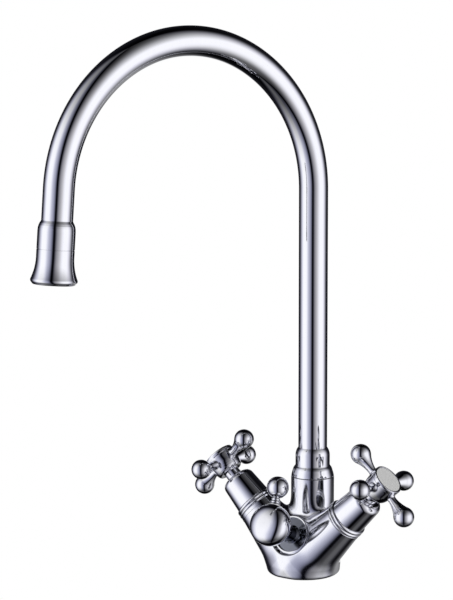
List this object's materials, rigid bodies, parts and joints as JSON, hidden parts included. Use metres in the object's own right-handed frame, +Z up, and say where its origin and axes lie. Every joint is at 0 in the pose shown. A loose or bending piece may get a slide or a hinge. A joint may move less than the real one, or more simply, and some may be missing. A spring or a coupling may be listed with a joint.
{
  "type": "kitchen filter mixer tap",
  "caption": "Polished deck-mounted kitchen mixer tap: tall swivelling swan-neck spout, cross handles on a V-shaped cast body and a ball-ended lever for filtered water.",
  "frame": {"origin": "centre of the round foot's underside, on the worktop", "axes": "+Z up, -Y towards the user (the filter lever's side), +X the user's right (the cold handle's side)"},
  "size_m": [0.1713, 0.2132, 0.3566],
  "materials": {
    "polished_chrome": "polished",
    "brass": "machined",
    "stainless_steel": "satin",
    "rubber": "matt",
    "ceramic": "polished",
    "index_disc": "matt",
    "slide_plastic": "satin",
    "aerator_plastic": "satin",
    "tube_plastic": "satin"
  },
  "bodies": {
    "tap_body": {"body_casting": "polished_chrome", "foot_seal": "rubber", "glide_washer": "slide_plastic", "spout_lock_screw": "stainless_steel", "hot_bead_ring": "polished_chrome", "hot_bonnet": "polished_chrome", "hot_headwork": "brass", "hot_seat_washer": "rubber", "hot_fixed_disc": "ceramic", "cold_bead_ring": "polished_chrome", "cold_bonnet": "polished_chrome", "cold_headwork": "brass", "cold_seat_washer": "rubber", "cold_fixed_disc": "ceramic", "filter_bonnet": "polished_chrome", "filter_seat_washer": "rubber", "filter_fixed_disc": "ceramic"},
    "spout": {"spout_tube": "polished_chrome", "spout_collar": "polished_chrome", "spout_stem": "brass", "spout_o_ring_lower": "rubber", "spout_o_ring_upper": "rubber", "nozzle_ferrule": "polished_chrome", "nozzle_bell": "polished_chrome", "aerator_washer": "rubber", "aerator_housing": "aerator_plastic", "aerator_screen": "stainless_steel", "filter_inner_tube": "tube_plastic", "inner_tube_tail": "brass", "inner_tube_o_ring": "rubber"},
    "hot_handle": {"hot_cross_handle": "polished_chrome", "hot_index_disc": "index_disc", "hot_handle_screw": "stainless_steel", "hot_spindle": "brass", "hot_spindle_o_ring": "rubber", "hot_circlip": "stainless_steel", "hot_moving_disc": "ceramic"},
    "cold_handle": {"cold_cross_handle": "polished_chrome", "cold_index_disc": "index_disc", "cold_handle_screw": "stainless_steel", "cold_spindle": "brass", "cold_spindle_o_ring": "rubber", "cold_circlip": "stainless_steel", "cold_moving_disc": "ceramic"},
    "filter_lever_set": {"filter_knob": "polished_chrome", "filter_lever": "polished_chrome", "filter_knob_screw": "stainless_steel", "filter_spindle": "brass", "filter_spindle_o_ring": "rubber", "filter_moving_disc": "ceramic"}
  },
  "joints": [
    {"name": "spout_swivel", "type": "hinge", "parent": "tap_body", "child": "spout", "pos_m": [0, 0.00975, 0.06295], "axis": [0, 0, 1], "continuous": true},
    {"name": "hot_handle_turn", "type": "hinge", "parent": "tap_body", "child": "hot_handle", "pos_m": [-0.06183, -0.0044, 0.06696], "axis": [-0.7193, 0, 0.6947], "range_deg": [0, 90]},
    {"name": "cold_handle_turn", "type": "hinge", "parent": "tap_body", "child": "cold_handle", "pos_m": [0.06183, -0.0044, 0.06696], "axis": [0.7193, 0, 0.6947], "range_deg": [-90, 0]},
    {"name": "filter_lever_turn", "type": "hinge", "parent": "tap_body", "child": "filter_lever_set", "pos_m": [0, -0.03898, 0.03909], "axis": [0, -0.9063, 0.4226], "range_deg": [-90, 0]}
  ]
}
